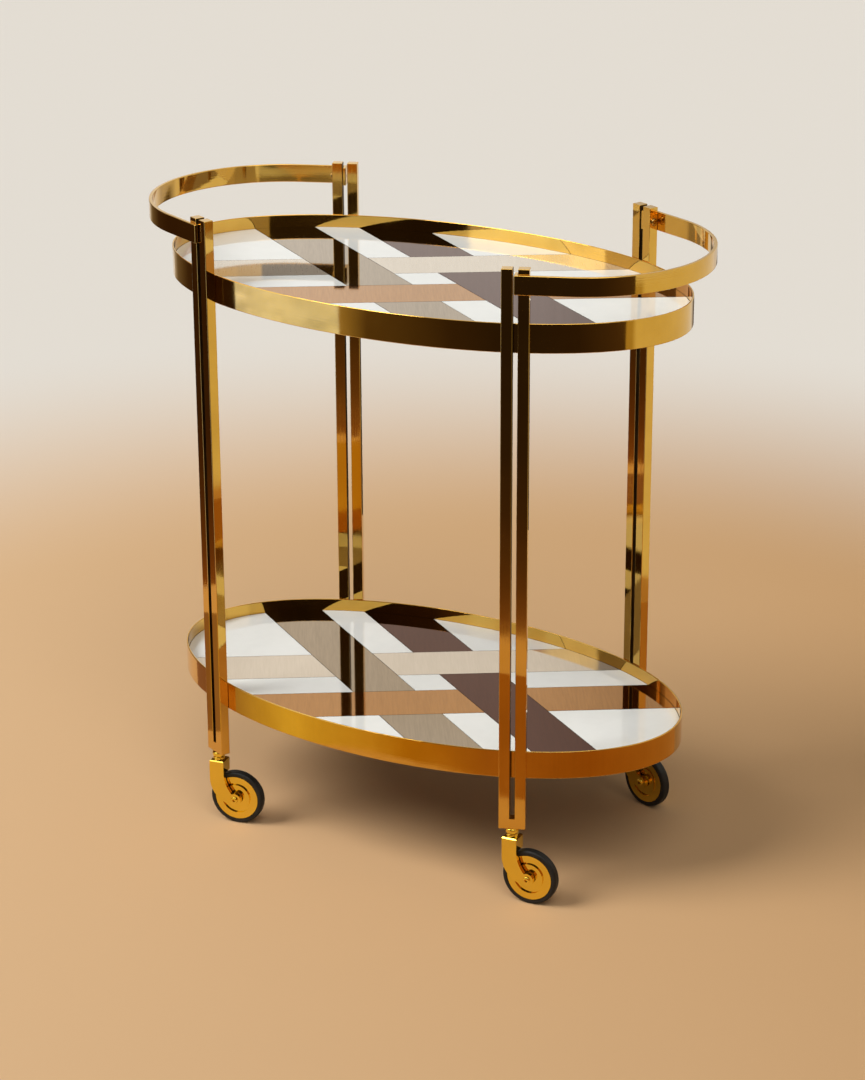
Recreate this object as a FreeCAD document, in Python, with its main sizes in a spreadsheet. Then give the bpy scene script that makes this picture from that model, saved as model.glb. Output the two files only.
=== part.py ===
"""Oval bar cart: two rimmed trays with woven glass decks, twin-bar posts, end handles and swivel casters.

Millimetres, +Z up, +X to the right-hand end, -Y to the front.
The origin is on the floor under the middle of the trays.
"""

import FreeCAD, Part
import math
import os
import re

import Sketcher
from FreeCAD import Placement, Rotation, Vector

SIZES = {
    # Trays: an oval rim, a ledge inside it, a board on the ledge and glass panes on the board
    "tray_length": 790,
    "tray_width": 442,
    "tray_spacing": 606,
    "rim_wall": 2.5,
    "rim_skirt": 9.5,
    "ledge_thickness": 2,
    "ledge_width": 10,
    "board_thickness": 6,
    "pane_thickness": 4,
    "well_depth": 18.5,
    "deck_clearance": 0.5,
    # Panes: three strips each way, woven over and under
    "weave_angle": 33.7,
    "middle_strip": 56,
    "outer_strip": 82.5,
    "pane_joint": 0.8,
    # Posts: two tubes on a foot, their inner faces against the rims
    "post_span": 482,
    "post_rise": 76,
    "foot_rise": 71,
    "foot_height": 15,
    "foot_cover": 2,
    "bar_width": 15,
    "bar_depth": 14,
    "bar_gap": 7,
    "bar_wall": 1.5,
    # Handles: flat bands, straight past the posts and round at the end, a tab turned into each post's gap
    "handle_height": 26,
    "handle_thickness": 5,
    "handle_drop": 7,
    "handle_run": 70,
    "handle_clearance": 0.05,
    "tab_setback": 1,
    "tab_side_gap": 0.1,
    "tab_free_gap": 1.9,
    # Button head screws
    "handle_screw_diameter": 5,
    "handle_screw_head": 9.5,
    "handle_screw_dome": 2.8,
    "handle_screw_collar": 11.8,
    "collar_height": 1,
    "handle_screw_socket": 3,
    "tray_screw_diameter": 4,
    "tray_screw_head": 7.6,
    "tray_screw_dome": 2.2,
    "tray_screw_socket": 2.5,
    "tray_screw_reach": 6,
    "head_edge": 0.4,
    "socket_floor": 0.8,
    "screw_clearance": 0.1,
    # Caster stems
    "stud_diameter": 8,
    "flange_diameter": 19,
    "flange_height": 7.5,
    "flange_edge": 2.5,
    "pin_diameter": 10,
    "pin_head_diameter": 14,
    "pin_head_height": 2.5,
    "pin_head_setback": 1.5,
    "swivel_clearance": 0.05,
    "swivel_gap": 0.5,
    # Caster arms
    "arm_width": 22,
    "arm_thickness": 6,
    "hub_width": 18.5,
    "hub_angle": 120,
    "caster_trail": 27,
    "block_height": 20,
    "block_drop": 2,
    "block_bevel": 1.4,
    "boss_diameter": 17,
    "boss_height": 4.5,
    "boss_edge": 1.5,
    # Wheels
    "wheel_diameter": 80,
    "wheel_side_gap": 1.25,
    "tyre_thickness": 6.4,
    "tyre_width": 14,
    "tyre_shoulder": 3.5,
    "disc_inset": 0.5,
    "disc_edge": 0.8,
    "groove_diameter": 43.5,
    "groove_width": 3.4,
    "groove_depth": 2.5,
    "axle_diameter": 8,
    "axle_head": 10.5,
    "axle_dome": 3,
    "axle_socket": 4,
    "axle_end": 12,
    "axle_end_height": 1.5,
    "axle_clearance": 0.05,
    "bush_wall": 2,
    "bush_end_gap": 0.3,
}

# Heights above the floor, stacked from the wheels up
HUB = "wheel_diameter/2"
BLOCK_BOTTOM = "(wheel_diameter - block_drop)"
BLOCK_TOP = f"({BLOCK_BOTTOM} + block_height)"
BOSS_TOP = f"({BLOCK_TOP} + boss_height)"
FLANGE_BOTTOM = f"({BOSS_TOP} + swivel_gap)"
POST_BOTTOM = f"({FLANGE_BOTTOM} + flange_height)"
LOWER_TRAY = f"({POST_BOTTOM} + foot_rise)"
UPPER_TRAY = f"({LOWER_TRAY} + tray_spacing)"
LEDGE_TOP = "(rim_skirt + ledge_thickness)"
BOARD_TOP = f"({LEDGE_TOP} + board_thickness)"
DECK_TOP = f"({BOARD_TOP} + pane_thickness)"
RIM_HEIGHT = f"({DECK_TOP} + well_depth)"
POST_TOP = f"({UPPER_TRAY} + {RIM_HEIGHT} + post_rise)"
HANDLE_BOTTOM = f"({POST_TOP} - handle_drop - handle_height)"
HANDLE_MIDDLE = f"({HANDLE_BOTTOM} + handle_height/2)"

# Where a post touches the rims: the point, the slope of the rim's normal and the rim's radius there
POST_X = "(post_span/2)"
POST_Y = "(tray_width/2*sqrt(1 - (post_span/tray_length)^2))"
NORMAL_SLOPE = f"({POST_Y}*tray_length^2/({POST_X}*tray_width^2))"
NORMAL_X = f"(1/sqrt(1 + {NORMAL_SLOPE}^2))"
NORMAL_Y = f"({NORMAL_SLOPE}*{NORMAL_X})"
RIM_RADIUS = (
    "((tray_length*tray_width/4)^2"
    f"*(({POST_X}*4/tray_length^2)^2 + ({POST_Y}*4/tray_width^2)^2)^1.5)"
)
POST_HALF_WIDTH = "(bar_width + bar_gap/2)"
BAR_MIDDLE = "(bar_gap/2 + bar_width/2)"

# Across a caster, from the arm's outer face to the far side of the wheel
BLOCK_DEPTH = "(arm_thickness + tyre_width + 2*wheel_side_gap)"
DISC_RADIUS = "(wheel_diameter/2 - tyre_thickness)"
DISC_WIDTH = "(tyre_width - 2*disc_inset)"
BUSH_RADIUS = "(axle_diameter/2 + axle_clearance + bush_wall)"

# Past a face that a cutting tool goes through
OVERCUT = "1"

CORNERS = {
    "front_left": (-1, -1),
    "front_right": (1, -1),
    "back_left": (-1, 1),
    "back_right": (1, 1),
}

# Rest angles of the casters, as the cart was last pushed
SWIVEL_ANGLES = {"front_left": 11, "front_right": 5, "back_left": -7, "back_right": -17}

doc = FreeCAD.newDocument("bar_cart")
sheet = doc.addObject("Spreadsheet::Sheet", "Sizes")
for row, (alias, value) in enumerate(SIZES.items(), 1):
    sheet.set(f"A{row}", alias)
    sheet.set(f"B{row}", str(value))
    sheet.setAlias(f"B{row}", alias)
doc.recompute()

nodes = []


def bound(expression):
    """The expression with each alias, which always holds an underscore, read from the sheet."""
    return re.sub(r"[a-z]+(_[a-z]+)+", r"Sizes.\g<0>", expression)


def mm(expression):
    """The expression's value now."""
    return float(sheet.evalExpression(bound(expression)))


def bind(thing, **sizes):
    """Ties properties of a document object to expressions of the sheet."""
    for name, expression in sizes.items():
        thing.setExpression(name, bound(expression))
    return thing


def node(thing, label, place=Placement()):
    """Marks an object as a sub-part, with the label that names its file and its place on the cart."""
    thing.Label = label
    thing.Placement = place
    nodes.append(thing)
    return thing


def at(across="0", along="0", up="0", axis=Vector(0, 0, 1), angle=0):
    """A placement by expressions, turned about one axis."""
    return Placement(Vector(mm(across), mm(along), mm(up)), Rotation(axis, angle))


# Solids from primitives


def box(name, length, width, height, place):
    solid = doc.addObject("Part::Box", name)
    solid.Placement = place
    return bind(solid, Length=length, Width=width, Height=height)


def rod(name, diameter, height, place):
    solid = doc.addObject("Part::Cylinder", name)
    solid.Placement = place
    return bind(solid, Radius=f"({diameter})/2", Height=height)


def tray_oval(name, inset, height, bottom="0"):
    """A slab of the tray's oval, drawn in from the rim's outer face by an inset."""
    edge = doc.addObject("Part::Ellipse", f"{name}_edge")
    bind(edge, MajorRadius=f"tray_length/2 - ({inset})", MinorRadius=f"tray_width/2 - ({inset})")
    slab = doc.addObject("Part::Extrusion", name)
    slab.Base = edge
    slab.DirMode = "Custom"
    slab.Dir = Vector(0, 0, 1)
    slab.Solid = True
    slab.Placement = at(up=bottom)
    return bind(slab, LengthFwd=height)


def fuse(name, solids):
    joined = doc.addObject("Part::MultiFuse", name)
    joined.Shapes = solids
    return joined


def cut(name, base, tools):
    result = doc.addObject("Part::Cut", name)
    result.Base = base
    result.Tool = fuse(f"{name}_tools", tools) if len(tools) > 1 else tools[0]
    return result


# Bodies from sketches


def attach(body, sketch, plane, lift):
    """Lays a sketch on one of its body's own planes, lifted along the plane's normal."""
    support = next(feature for feature in body.Origin.OriginFeatures if feature.Role == plane)
    sketch.AttachmentSupport = [(support, "")]
    sketch.MapMode = "FlatFace"
    sketch.setExpression("AttachmentOffset.Base.z", bound(lift))


def hold(sketch, kind, place, expression):
    """Adds a constraint of a kind at a place in a sketch, with its value tied to an expression."""
    held = sketch.addConstraint(Sketcher.Constraint(kind, *place, mm(expression)))
    sketch.setExpression(f"Constraints[{held}]", bound(expression))


def pin_point(sketch, curve, point, across, up):
    """Holds a point of a sketch curve at two expressions from the sketch's origin."""
    hold(sketch, "DistanceX", (-1, 1, curve, point), across)
    hold(sketch, "DistanceY", (-1, 1, curve, point), up)


def outline(body, name, plane, corners, lift="0"):
    """A closed outline through corners given as (across, up).

    Where an arc runs from a corner to the next one, the corner is (across, up, (centre across, centre up,
    turn)), with turn 1 for anticlockwise and -1 for clockwise.
    """
    sketch = body.newObject("Sketcher::SketchObject", name)
    attach(body, sketch, plane, lift)
    points = [Vector(mm(corner[0]), mm(corner[1]), 0) for corner in corners]
    starts = []
    ends = []
    for k, corner in enumerate(corners):
        start = points[k]
        end = points[(k + 1) % len(points)]
        turn = 1
        if len(corner) == 2:
            curve = sketch.addGeometry(Part.LineSegment(start, end))
        else:
            across, up, turn = corner[2]
            centre = Vector(mm(across), mm(up), 0)
            first, last = (start, end) if turn > 0 else (end, start)
            angles = [math.atan2(point.y - centre.y, point.x - centre.x) for point in (first, last)]
            circle = Part.Circle(centre, Vector(0, 0, 1), centre.distanceToPoint(start))
            curve = sketch.addGeometry(Part.ArcOfCircle(circle, *angles))
            upright = abs(end.y - start.y) >= abs(end.x - start.x)
            kind, expression = ("DistanceX", across) if upright else ("DistanceY", up)
            hold(sketch, kind, (-1, 1, curve, 3), expression)
        starts.append((curve, 1 if turn > 0 else 2))
        ends.append((curve, 2 if turn > 0 else 1))
    for k, corner in enumerate(corners):
        sketch.addConstraint(Sketcher.Constraint("Coincident", *ends[k - 1], *starts[k]))
        pin_point(sketch, *starts[k], corner[0], corner[1])
    return sketch


def rectangle(body, name, plane, half_length, half_width, lift):
    corners = [(f"-{half_length}", f"-{half_width}"), (half_length, f"-{half_width}")]
    corners += [(half_length, half_width), (f"-{half_length}", half_width)]
    return outline(body, name, plane, corners, lift)


def ring(body, name, plane, diameter, across="0", up="0", lift="0"):
    """A circle."""
    sketch = body.newObject("Sketcher::SketchObject", name)
    attach(body, sketch, plane, lift)
    centre = Vector(mm(across), mm(up), 0)
    curve = sketch.addGeometry(Part.Circle(centre, Vector(0, 0, 1), mm(diameter)/2))
    hold(sketch, "Radius", (curve,), f"({diameter})/2")
    pin_point(sketch, curve, 3, across, up)
    return sketch


def feature(body, kind, name, profile, **sizes):
    made = body.newObject(f"PartDesign::{kind}", name)
    made.Profile = profile
    return bind(made, **sizes)


def turn(body, kind, name, profile):
    """Revolves a profile of (radius, height) corners about the body's own Z axis."""
    sketch = outline(body, f"{name}_profile", "XZ_Plane", profile)
    made = feature(body, kind, name, sketch)
    made.ReferenceAxis = (sketch, ["V_Axis"])
    made.Angle = 360
    return made


def dress(body, kind, name, base, chosen, **sizes):
    """Fillets or chamfers the edges of a feature that a test picks."""
    doc.recompute()
    picked = [f"Edge{k}" for k, edge in enumerate(base.Shape.Edges, 1) if chosen(edge)]
    made = body.newObject(f"PartDesign::{kind}", name)
    made.Base = (base, picked)
    return bind(made, **sizes)


def circle_at(radius, height):
    """Picks a round edge about the Z axis by its radius and height."""

    def test(edge):
        round_edge = isinstance(edge.Curve, Part.Circle)
        return round_edge and math.isclose(edge.Curve.Radius, mm(radius), abs_tol=1e-4) and math.isclose(
            edge.Curve.Center.z, mm(height), abs_tol=1e-4
        )

    return test


def domed_pin(name, head, dome, socket, shank, end_corners, collar=(), seat="0"):
    """A turned pin: a domed socket head above z = 0, a shank below it that ends in the given corners.

    A collar under the head is given by its corners, and the head's seat is then the collar's top.
    """
    body = doc.addObject("PartDesign::Body", name)
    profile = [("0", dome), ("0", end_corners[-1][1])] + end_corners[::-1]
    profile += [(shank, "0"), *collar, (f"{head}/2", seat), (f"{head}/2", dome)]
    pin = turn(body, "Revolution", f"{name}_turned", profile)
    crown = circle_at(f"{head}/2", dome)
    dress(body, "Fillet", f"{name}_dome", pin, crown, Radius=f"{dome} - {seat} - head_edge")
    corners = [
        (f"{socket}/sqrt(3)*cos({turned})", f"{socket}/sqrt(3)*sin({turned})")
        for turned in range(0, 360, 60)
    ]
    hexagon = outline(body, f"{name}_hexagon", "XY_Plane", corners, dome)
    feature(body, "Pocket", f"{name}_socket", hexagon, Length=f"{dome} - socket_floor")
    return body


def group(label, solids):
    """Separate solids of one kind under one label."""
    gathered = doc.addObject("Part::Feature", label)
    gathered.Shape = Part.makeCompound(solids)
    return node(gathered, label)


# Places on the cart


def post_frame(end, side, up="0"):
    """A post's frame: origin where it touches the rim, Y outward along the rim's normal, Z up."""
    outward = math.degrees(math.atan2(side*mm(NORMAL_Y), end*mm(NORMAL_X)))
    contact = Vector(end*mm(POST_X), side*mm(POST_Y), mm(up))
    return Placement(contact, Rotation(Vector(0, 0, 1), outward - 90))


def bar_start(hand, end_bar):
    """Where a bar's box begins along its post's X: hand is 1 where X points to the cart's end."""
    place = hand if end_bar else -hand
    return f"{place}*{BAR_MIDDLE} - bar_width/2"


def rim_sag(reach):
    """How far the rim falls away from a post's flat face at a distance along it."""
    return f"(({reach})^2/(2*{RIM_RADIUS}))"


# Turns that lay a rod's axis along the frame's Y, against it and along its X
OUTWARD = {"axis": Vector(1, 0, 0), "angle": -90}
INWARD = {"axis": Vector(1, 0, 0), "angle": 90}
SIDEWAYS = {"axis": Vector(0, 1, 0), "angle": 90}

TRAY_SCREW_HOLE = "(tray_screw_diameter + 2*screw_clearance)"
HANDLE_SCREW_HOLE = "(handle_screw_diameter + 2*screw_clearance)"
STUD_HOLE = "(stud_diameter + 2*screw_clearance)"


# Trays

SCREW_RISE = "rim_skirt/2"
BAR_PLACES = [(end, side, hand) for end, side in CORNERS.values() for hand in (-1, 1)]


def tray_screw_place(end, side, hand, tray, back):
    """A tray screw's frame, its Z pointing in from the rim, at a depth inside the post's face."""
    frame = post_frame(end, side, tray)
    return frame.multiply(at(f"{hand}*{BAR_MIDDLE}", f"-({back})", SCREW_RISE, **INWARD))


def make_rim(label, tray):
    outer = tray_oval(f"{label}_outer", "0", RIM_HEIGHT)
    tools = [
        tray_oval(f"{label}_well", "rim_wall", f"{RIM_HEIGHT} - {LEDGE_TOP}", LEDGE_TOP),
        tray_oval(f"{label}_opening", "rim_wall + ledge_width", RIM_HEIGHT),
        tray_oval(f"{label}_underside", "rim_wall", "rim_skirt"),
    ]
    depth = f"rim_wall + {rim_sag(POST_HALF_WIDTH)} + 2*{OVERCUT}"
    for end, side, hand in BAR_PLACES:
        place = tray_screw_place(end, side, hand, "0", f"-{OVERCUT}")
        tools.append(rod(f"{label}_screw_hole", TRAY_SCREW_HOLE, depth, place))
    return node(cut(label, outer, tools), label, at(up=tray))


def make_board(label, tray):
    board = tray_oval(label, "rim_wall + deck_clearance", "board_thickness")
    return node(board, label, at(up=f"{tray} + {LEDGE_TOP}"))


def strip(turn_angle, low, high):
    """The slab between two lines that run at an angle across the tray, less half a joint on each side."""
    half_joint = mm("pane_joint/2")
    reach = mm("tray_length")
    start = Vector(-reach, low + half_joint, 0)
    slab = Part.makeBox(2*reach, high - low - 2*half_joint, mm("pane_thickness"), start)
    slab.rotate(Vector(), Vector(0, 0, 1), turn_angle)
    return slab


def weave():
    """Each colour's panes as pairs of ranges, across the rising strips and across the falling strips."""
    middle = mm("middle_strip/2")
    outer = mm("middle_strip/2 + outer_strip")
    far = mm("tray_length")
    low_strip = (-outer, -middle)
    centre_strip = (-middle, middle)
    high_strip = (middle, outer)
    below = (-far, -outer)
    above = (outer, far)
    outside = (below, above)
    return {
        "champagne": [(high_strip, below), (high_strip, (-middle, far))],
        "copper": [(low_strip, above), (low_strip, (-far, middle))],
        "bronze": [(below, low_strip), ((-middle, far), low_strip)],
        "plum": [(above, high_strip), ((-far, middle), high_strip)],
        "white": [(centre_strip, centre_strip)]
        + [(centre_strip, side) for side in outside]
        + [(side, centre_strip) for side in outside]
        + [(rising, falling) for rising in outside for falling in outside],
    }


def make_panes(tray_name, tray):
    inset = mm("rim_wall + deck_clearance")
    edge = Part.Ellipse(Vector(), mm("tray_length/2") - inset, mm("tray_width/2") - inset)
    face = Part.Face(Part.Wire(edge.toShape()))
    plate = face.extrude(Vector(0, 0, mm("pane_thickness")))
    angle = mm("weave_angle")
    for colour, places in weave().items():
        panes = []
        for rising, falling in places:
            pane = plate.common(strip(angle, *rising)).common(strip(-angle, *falling))
            panes += pane.Solids
        group(f"{tray_name}_{colour}_panes", panes).Placement = at(up=f"{tray} + {BOARD_TOP}")


for tray_name, tray in (("lower", LOWER_TRAY), ("upper", UPPER_TRAY)):
    make_rim(f"{tray_name}_rim", tray)
    make_board(f"{tray_name}_board", tray)
    make_panes(tray_name, tray)


# Posts


def make_bar(label, end, side, end_bar):
    """A square tube with a welded top, standing on the foot."""
    hand = end*side
    start = bar_start(hand, end_bar)
    bottom = f"({POST_BOTTOM} + foot_height)"
    bar = box(f"{label}_tube", "bar_width", "bar_depth", f"{POST_TOP} - {bottom}", at(start, "0", bottom))
    bore_height = f"{POST_TOP} - {bottom} - bar_wall"
    bore_place = at(f"{start} + bar_wall", "bar_wall", bottom)
    bore = ("bar_width - 2*bar_wall", "bar_depth - 2*bar_wall", bore_height)
    tools = [box(f"{label}_bore", *bore, bore_place)]
    for tray in (LOWER_TRAY, UPPER_TRAY):
        hole_place = at(f"{start} + bar_width/2", f"-{OVERCUT}", f"{tray} + {SCREW_RISE}", **OUTWARD)
        tools.append(rod(f"{label}_tray_hole", TRAY_SCREW_HOLE, f"bar_depth/2 + {OVERCUT}", hole_place))
    if end_bar:
        hole_place = at(f"{start} - {OVERCUT}", "bar_depth/2", HANDLE_MIDDLE, **SIDEWAYS)
        hole_length = f"bar_width + 2*{OVERCUT}"
        tools.append(rod(f"{label}_handle_hole", HANDLE_SCREW_HOLE, hole_length, hole_place))
    return node(cut(label, bar, tools), label, post_frame(end, side))


def make_foot(label, end, side):
    """The block under both bars, tapped for the caster's stud."""
    block_place = at(f"-{POST_HALF_WIDTH}")
    block = box(f"{label}_block", f"2*{POST_HALF_WIDTH}", "bar_depth", "foot_height", block_place)
    depth = f"foot_height - foot_cover + {OVERCUT}"
    hole_place = at("0", "bar_depth/2", f"-{OVERCUT}")
    hole = rod(f"{label}_stud_hole", STUD_HOLE, depth, hole_place)
    return node(cut(label, block, [hole]), label, post_frame(end, side, POST_BOTTOM))


for corner, (end, side) in CORNERS.items():
    make_bar(f"{corner}_end_bar", end, side, True)
    make_bar(f"{corner}_middle_bar", end, side, False)
    make_foot(f"{corner}_foot", end, side)


# Handles

BAND_INSIDE = "(bar_depth + handle_clearance)"
BAND_OUTSIDE = f"({BAND_INSIDE} + handle_thickness)"
TAB_THICKNESS = "(bar_gap - tab_side_gap - tab_free_gap)"
TAB_FACE = "(bar_gap/2 - tab_side_gap)"
BAND_END = f"({TAB_FACE} - {TAB_THICKNESS})"


def handle_point(side, along, out):
    """A point of the right handle's plan, along a post's face from its middle and out from the rim."""
    across = f"({POST_X} + {NORMAL_Y}*({along}) + {NORMAL_X}*({out}))"
    back = f"({side}*({POST_Y} - {NORMAL_X}*({along}) + {NORMAL_Y}*({out})))"
    return across, back


def make_handle(label, angle):
    """A flat bar bent round the end of the cart, straight past the posts, its ends turned in as tabs."""
    body = doc.addObject("PartDesign::Body", f"{label}_bar")
    bend_x, bend_y = handle_point(1, "handle_run", BAND_INSIDE)
    centre = f"({bend_x} - {bend_y}*{NORMAL_X}/{NORMAL_Y})"
    front, back = -1, 1
    corners = [
        handle_point(front, BAND_END, "tab_setback"),
        handle_point(front, BAND_END, BAND_OUTSIDE),
        handle_point(front, "handle_run", BAND_OUTSIDE) + ((centre, "0", 1),),
        handle_point(back, "handle_run", BAND_OUTSIDE),
        handle_point(back, BAND_END, BAND_OUTSIDE),
        handle_point(back, BAND_END, "tab_setback"),
        handle_point(back, TAB_FACE, "tab_setback"),
        handle_point(back, TAB_FACE, BAND_INSIDE),
        handle_point(back, "handle_run", BAND_INSIDE) + ((centre, "0", -1),),
        handle_point(front, "handle_run", BAND_INSIDE),
        handle_point(front, TAB_FACE, BAND_INSIDE),
        handle_point(front, TAB_FACE, "tab_setback"),
    ]
    plan = outline(body, f"{label}_plan", "XY_Plane", corners)
    feature(body, "Pad", f"{label}_pad", plan, Length="handle_height")
    holes = []
    for side in (front, back):
        start = BAND_END if side == back else f"-{TAB_FACE}"
        bore = at(f"{start} - {OVERCUT}", "bar_depth/2", "handle_height/2", **SIDEWAYS)
        place = post_frame(1, side).multiply(bore)
        depth = f"{TAB_THICKNESS} + 2*{OVERCUT}"
        holes.append(rod(f"{label}_screw_hole", HANDLE_SCREW_HOLE, depth, place))
    return node(cut(label, body, holes), label, at(up=HANDLE_BOTTOM, angle=angle))


make_handle("left_handle", 180)
make_handle("right_handle", 0)


# Screws

handle_screw = domed_pin(
    "handle_screw",
    "handle_screw_head",
    "handle_screw_dome",
    "handle_screw_socket",
    "handle_screw_diameter/2",
    [("handle_screw_diameter/2", f"-(bar_width + tab_side_gap + {TAB_THICKNESS})")],
    [("handle_screw_collar/2", "0"), ("handle_screw_collar/2", "collar_height")],
    "collar_height",
)
SCREW_SEAT = f"(rim_wall + {rim_sag(f'{BAR_MIDDLE} + tray_screw_head/2')})"
tray_screw = domed_pin(
    "tray_screw",
    "tray_screw_head",
    "tray_screw_dome",
    "tray_screw_socket",
    "tray_screw_diameter/2",
    [("tray_screw_diameter/2", f"-({SCREW_SEAT} + tray_screw_reach)")],
)
doc.recompute()

handle_screws = []
for end, side in CORNERS.values():
    hand = end*side
    seat = at(f"{hand}*{POST_HALF_WIDTH}", "bar_depth/2", HANDLE_MIDDLE, Vector(0, 1, 0), 90*hand)
    handle_screws.append(handle_screw.Shape.transformed(post_frame(end, side).multiply(seat).toMatrix()))
group("handle_screws", handle_screws)

tray_screws = []
for tray in (LOWER_TRAY, UPPER_TRAY):
    for end, side, hand in BAR_PLACES:
        place = tray_screw_place(end, side, hand, tray, SCREW_SEAT)
        tray_screws.append(tray_screw.Shape.transformed(place.toMatrix()))
group("tray_screws", tray_screws)


# Casters

PIN_SEAT = f"({BLOCK_BOTTOM} + pin_head_setback + pin_head_height)"
ARM_FACE = f"-{BLOCK_DEPTH}/2"


def caster_frame(corner):
    """A caster's frame: origin on the floor under its stem, X trailing, the arm on the -Y side."""
    end, side = CORNERS[corner]
    stem = post_frame(end, side).multVec(Vector(0, mm("bar_depth/2"), 0))
    return Placement(stem, Rotation(Vector(0, 0, 1), SWIVEL_ANGLES[corner]))


def make_stem(label, place):
    """Stud, flange and pin in one turned piece, its end peened over inside the arm."""
    body = doc.addObject("PartDesign::Body", label)
    stud_top = f"{POST_BOTTOM} + foot_height - foot_cover"
    head_bottom = f"{BLOCK_BOTTOM} + pin_head_setback"
    profile = [
        ("0", stud_top),
        ("0", head_bottom),
        ("pin_head_diameter/2", head_bottom),
        ("pin_head_diameter/2", PIN_SEAT),
        ("pin_diameter/2", PIN_SEAT),
        ("pin_diameter/2", FLANGE_BOTTOM),
        ("flange_diameter/2", FLANGE_BOTTOM),
        ("flange_diameter/2", POST_BOTTOM),
        ("stud_diameter/2", POST_BOTTOM),
        ("stud_diameter/2", stud_top),
    ]
    stem = turn(body, "Revolution", f"{label}_turned", profile)
    under_edge = circle_at("flange_diameter/2", FLANGE_BOTTOM)
    upper_edge = circle_at("flange_diameter/2", POST_BOTTOM)

    def flange_edge(edge):
        return under_edge(edge) or upper_edge(edge)

    dress(body, "Fillet", f"{label}_bead", stem, flange_edge, Radius="flange_edge")
    return node(body, label, place)


def make_arm(label, place):
    """A one-sided arm, bent from the swivel block to a round hub, its inner edge one long curve to the hub."""
    body = doc.addObject("PartDesign::Body", label)
    half = "arm_width/2"
    hub_low = f"({HUB} - hub_width/2)"
    outer_centre = f"({hub_low} + caster_trail + {half})"
    meet_across = "(caster_trail + hub_width/2*cos(hub_angle))"
    meet_up = f"({HUB} + hub_width/2*sin(hub_angle))"
    reach = f"({meet_across} - {half})"
    fall = f"({BLOCK_BOTTOM} - {meet_up})"
    inner_centre = f"({half} + ({reach}^2 + {fall}^2)/(2*{reach}))"
    corners = [
        (f"-{half}", BLOCK_TOP),
        (f"-{half}", outer_centre, ("caster_trail", outer_centre, 1)),
        ("caster_trail", hub_low, ("caster_trail", HUB, 1)),
        (meet_across, meet_up, (inner_centre, BLOCK_BOTTOM, -1)),
        (half, BLOCK_BOTTOM),
        (half, BLOCK_TOP),
    ]
    side = outline(body, f"{label}_side", "XZ_Plane", corners, f"{BLOCK_DEPTH}/2")
    plate = feature(body, "Pad", f"{label}_plate", side, Length="arm_thickness")
    plate.Reversed = True
    plan = rectangle(body, f"{label}_plan", "XY_Plane", half, f"{BLOCK_DEPTH}/2", BLOCK_BOTTOM)
    block = feature(body, "Pad", f"{label}_block", plan, Length="block_height")

    def top_edge(edge):
        return math.isclose(edge.BoundBox.ZMin, mm(BLOCK_TOP), abs_tol=1e-4)

    dress(body, "Chamfer", f"{label}_bevel", block, top_edge, Size="block_bevel")
    boss_ring = ring(body, f"{label}_boss_ring", "XY_Plane", "boss_diameter", lift=BLOCK_BOTTOM)
    boss = feature(body, "Pad", f"{label}_boss", boss_ring, Length="block_height + boss_height")
    boss_edge = circle_at("boss_diameter/2", BOSS_TOP)
    dress(body, "Fillet", f"{label}_boss_bead", boss, boss_edge, Radius="boss_edge")
    ceiling = f"{PIN_SEAT} + swivel_gap/2"
    bore = "pin_diameter/2 + swivel_clearance"
    recess = "pin_head_diameter/2 + swivel_gap"
    bore_profile = [
        ("0", BLOCK_BOTTOM),
        (recess, BLOCK_BOTTOM),
        (recess, ceiling),
        (bore, ceiling),
        (bore, BOSS_TOP),
        ("0", BOSS_TOP),
    ]
    turn(body, "Groove", f"{label}_bore", bore_profile)
    hole = ring(body, f"{label}_hub_ring", "XZ_Plane", "axle_diameter", "caster_trail", HUB)
    hub_hole = feature(body, "Pocket", f"{label}_hub_hole", hole)
    hub_hole.Type = "ThroughAll"
    hub_hole.Midplane = True
    return node(body, label, place)


def make_axle(label, place):
    """A rivet from the arm's outer face through the wheel, peened over on its far side."""
    far = f"-{BLOCK_DEPTH}"
    end = [
        ("axle_diameter/2", far),
        ("axle_end/2", far),
        ("axle_end/2", f"{far} - axle_end_height"),
    ]
    axle = domed_pin(label, "axle_head", "axle_dome", "axle_socket", "axle_diameter/2", end)
    return node(axle, label, place)


def make_disc(label, place):
    """A turned disc with a ring groove in each face and eased edges."""
    body = doc.addObject("PartDesign::Body", label)
    inside = "(groove_diameter - groove_width)/2"
    outside = "(groove_diameter + groove_width)/2"
    near = "disc_inset"
    far = f"(disc_inset + {DISC_WIDTH})"
    profile = [
        (BUSH_RADIUS, near),
        (inside, near),
        (inside, f"{near} + groove_depth"),
        (outside, f"{near} + groove_depth"),
        (outside, near),
        (f"{DISC_RADIUS} - disc_edge", near),
        (DISC_RADIUS, f"{near} + disc_edge"),
        (DISC_RADIUS, f"{far} - disc_edge"),
        (f"{DISC_RADIUS} - disc_edge", far),
        (outside, far),
        (outside, f"{far} - groove_depth"),
        (inside, f"{far} - groove_depth"),
        (inside, far),
        (BUSH_RADIUS, far),
    ]
    turn(body, "Revolution", f"{label}_turned", profile)
    return node(body, label, place)


def make_tyre(label, place):
    """A rubber ring on the disc, with rounded shoulders."""
    body = doc.addObject("PartDesign::Body", label)
    tread = "wheel_diameter/2"
    profile = [(DISC_RADIUS, "0"), (tread, "0"), (tread, "tyre_width"), (DISC_RADIUS, "tyre_width")]
    tyre = turn(body, "Revolution", f"{label}_turned", profile)
    near_edge = circle_at(tread, "0")
    far_edge = circle_at(tread, "tyre_width")

    def shoulder(edge):
        return near_edge(edge) or far_edge(edge)

    dress(body, "Fillet", f"{label}_shoulders", tyre, shoulder, Radius="tyre_shoulder")
    return node(body, label, place)


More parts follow.
